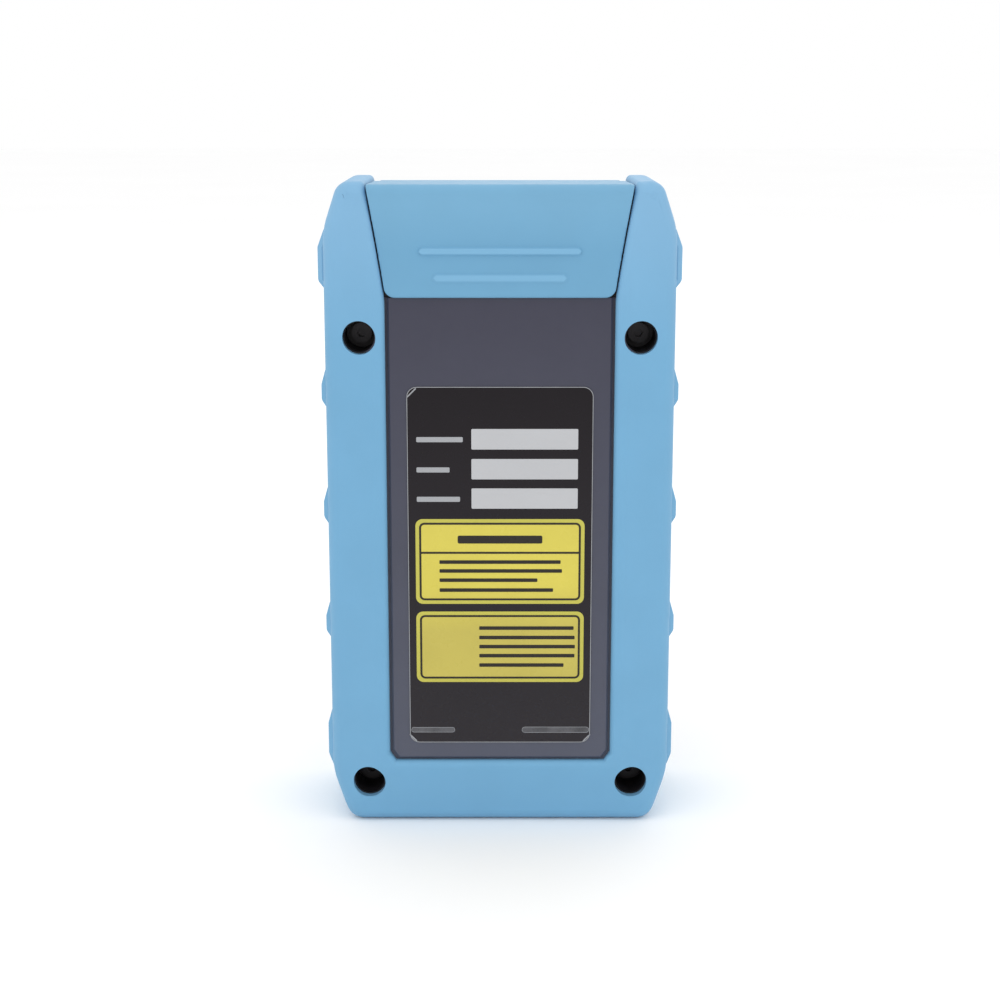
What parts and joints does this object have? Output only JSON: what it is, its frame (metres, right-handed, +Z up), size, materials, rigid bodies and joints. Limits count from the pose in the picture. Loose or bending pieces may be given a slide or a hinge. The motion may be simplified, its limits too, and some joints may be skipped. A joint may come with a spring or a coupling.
{
  "type": "optical time domain reflectometer",
  "caption": "Handheld fibre tester: rigid case in a soft boot, hinged dust flap over the fibre and network ports, front screen and keypad, bare rating label on the back.",
  "frame": {"origin": "centre of the flat base the tester stands on", "axes": "+Z up the tester's length, +Y out of the screen, -Y out of the rating label, +X to the right seen from behind"},
  "size_m": [0.0974, 0.044, 0.178],
  "materials": {
    "boot_rubber": "soft light-blue moulded elastomer",
    "flap_rubber": "light-blue firm elastomer, satin",
    "case_plastic": "dark blue-grey moulded ABS, fine texture",
    "seal_rubber": "black silicone cord",
    "screw_steel": "black-oxide steel",
    "label_film": "printed black film, semi-gloss",
    "pin_steel": "ground steel",
    "panel_plastic": "black moulded plastic",
    "adapter_metal": "nickel-plated brass",
    "detector_metal": "plated can",
    "jack_plastic": "black moulded socket",
    "usb_steel": "stamped steel shell",
    "circuit_board": "green solder mask",
    "buzzer_plastic": "black",
    "lens_glass": "dark printed acrylic, gloss",
    "lcd_glass": "dark display glass in a metal frame",
    "bracket_plastic": "black moulded frame",
    "mat_rubber": "grey silicone",
    "key_rubber": "light-grey moulded key",
    "holder_plastic": "black moulded tray",
    "cell_wrap": null,
    "module_metal": "milled and anodised",
    "fibre_jacket": "yellow buffer tube"
  },
  "bodies": {
    "tester": {"boot": "boot_rubber", "rear_case": "case_plastic", "front_case": "case_plastic", "case_seal": "seal_rubber", "case_screws": "screw_steel", "rating_label": "label_film", "hinge_pin": "pin_steel", "connector_panel": "panel_plastic", "otdr_adapter": "adapter_metal", "adapter_screws": "screw_steel", "opm_adapter": "adapter_metal", "vfl_adapter": "adapter_metal", "opm_detector": "detector_metal", "vfl_laser": "detector_metal", "rj45_jack": "jack_plastic", "usb_port": "usb_steel", "port_board": "circuit_board", "main_board": "circuit_board", "board_screws": "screw_steel", "buzzer": "buzzer_plastic", "screen_lens": "lens_glass", "lcd_module": "lcd_glass", "lcd_bracket": "bracket_plastic", "keypad_mat": "mat_rubber", "cell_holder": "holder_plastic", "battery_cells": "cell_wrap", "optical_module": "module_metal", "module_screws": "screw_steel", "fibre_pigtail": "fibre_jacket"},
    "flap": {"dust_flap": "flap_rubber"},
    "start_key": {"start_key": "key_rubber"},
    "menu_key": {"menu_key": "key_rubber"},
    "vfl_key": {"vfl_key": "key_rubber"},
    "up_key": {"up_key": "key_rubber"},
    "right_key": {"right_key": "key_rubber"},
    "down_key": {"down_key": "key_rubber"},
    "left_key": {"left_key": "key_rubber"},
    "ok_key": {"ok_key": "key_rubber"},
    "power_key": {"power_key": "key_rubber"},
    "back_key": {"back_key": "key_rubber"}
  },
  "joints": [
    {"name": "flap_hinge", "type": "hinge", "parent": "tester", "child": "flap", "pos_m": [0, 0.018, 0.1726], "axis": [-1, 0, 0], "range_deg": [0, 150]},
    {"name": "start_key_press", "type": "slide", "parent": "tester", "child": "start_key", "axis": [0, -1, 0], "range_m": [0, 0.0006], "stiffness_N_per_m": 1000},
    {"name": "menu_key_press", "type": "slide", "parent": "tester", "child": "menu_key", "axis": [0, -1, 0], "range_m": [0, 0.0006], "stiffness_N_per_m": 1000},
    {"name": "vfl_key_press", "type": "slide", "parent": "tester", "child": "vfl_key", "axis": [0, -1, 0], "range_m": [0, 0.0006], "stiffness_N_per_m": 1000},
    {"name": "up_key_press", "type": "slide", "parent": "tester", "child": "up_key", "axis": [0, -1, 0], "range_m": [0, 0.0006], "stiffness_N_per_m": 1000},
    {"name": "right_key_press", "type": "slide", "parent": "tester", "child": "right_key", "axis": [0, -1, 0], "range_m": [0, 0.0006], "stiffness_N_per_m": 1000},
    {"name": "down_key_press", "type": "slide", "parent": "tester", "child": "down_key", "axis": [0, -1, 0], "range_m": [0, 0.0006], "stiffness_N_per_m": 1000},
    {"name": "left_key_press", "type": "slide", "parent": "tester", "child": "left_key", "axis": [0, -1, 0], "range_m": [0, 0.0006], "stiffness_N_per_m": 1000},
    {"name": "ok_key_press", "type": "slide", "parent": "tester", "child": "ok_key", "axis": [0, -1, 0], "range_m": [0, 0.0006], "stiffness_N_per_m": 1000},
    {"name": "power_key_press", "type": "slide", "parent": "tester", "child": "power_key", "axis": [0, -1, 0], "range_m": [0, 0.0006], "stiffness_N_per_m": 1000},
    {"name": "back_key_press", "type": "slide", "parent": "tester", "child": "back_key", "axis": [0, -1, 0], "range_m": [0, 0.0006], "stiffness_N_per_m": 1000}
  ]
}
